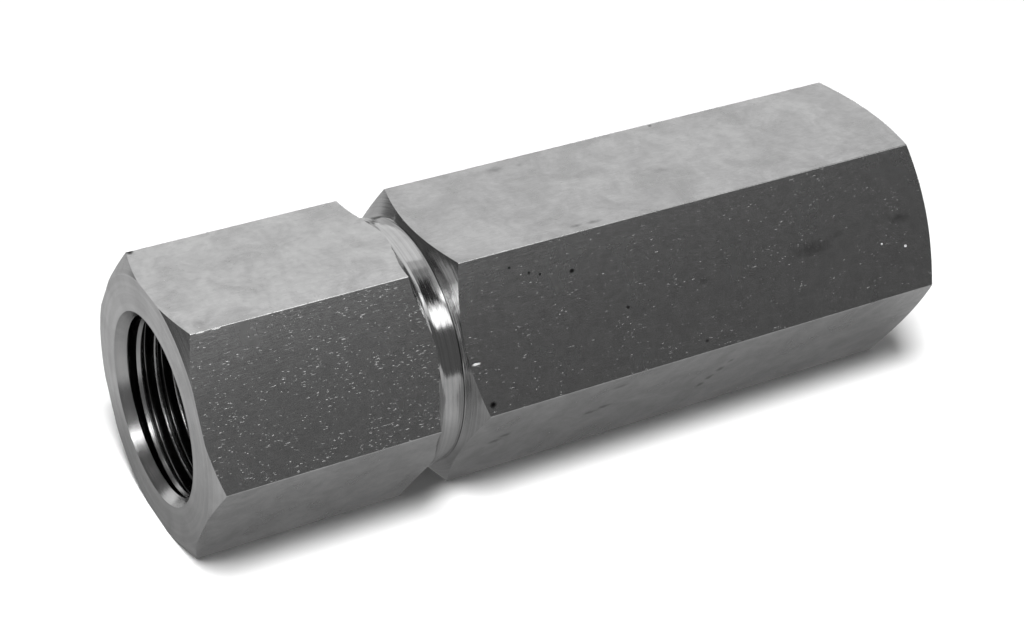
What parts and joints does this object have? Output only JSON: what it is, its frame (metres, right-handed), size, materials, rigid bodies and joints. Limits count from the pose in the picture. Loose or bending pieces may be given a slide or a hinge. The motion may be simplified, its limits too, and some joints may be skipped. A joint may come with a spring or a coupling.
{
  "type": "inline non-return valve",
  "caption": "Hexagonal steel inline non-return valve with a threaded port at each end, a turned neck and a sprung cone poppet inside.",
  "frame": {"origin": "on the flow axis, half way between the two end faces", "axes": "+X along the free flow, from the end cap's port to the body's port; +Z square to a flat of the hexagon, up as it lies; +Y through a corner of the hexagon"},
  "size_m": [0.0856, 0.0312, 0.027],
  "materials": {
    "bar_steel": "drawn and turned, oiled",
    "hard_steel": "ground",
    "spring_steel": "drawn wire, ends ground",
    "seal_rubber": "smooth",
    "ring_plastic": "smooth"
  },
  "bodies": {
    "housing": {"end_cap": "bar_steel", "body": "bar_steel", "o_ring": "seal_rubber", "backup_ring": "ring_plastic", "spring": "spring_steel"},
    "poppet": {"poppet": "hard_steel"}
  },
  "joints": [
    {"name": "poppet_lift", "type": "slide", "parent": "housing", "child": "poppet", "axis": [1, 0, 0], "range_m": [0, 0.0049], "stiffness_N_per_m": 1900, "springref_m": -0.0032, "deforming": ["spring"]}
  ]
}
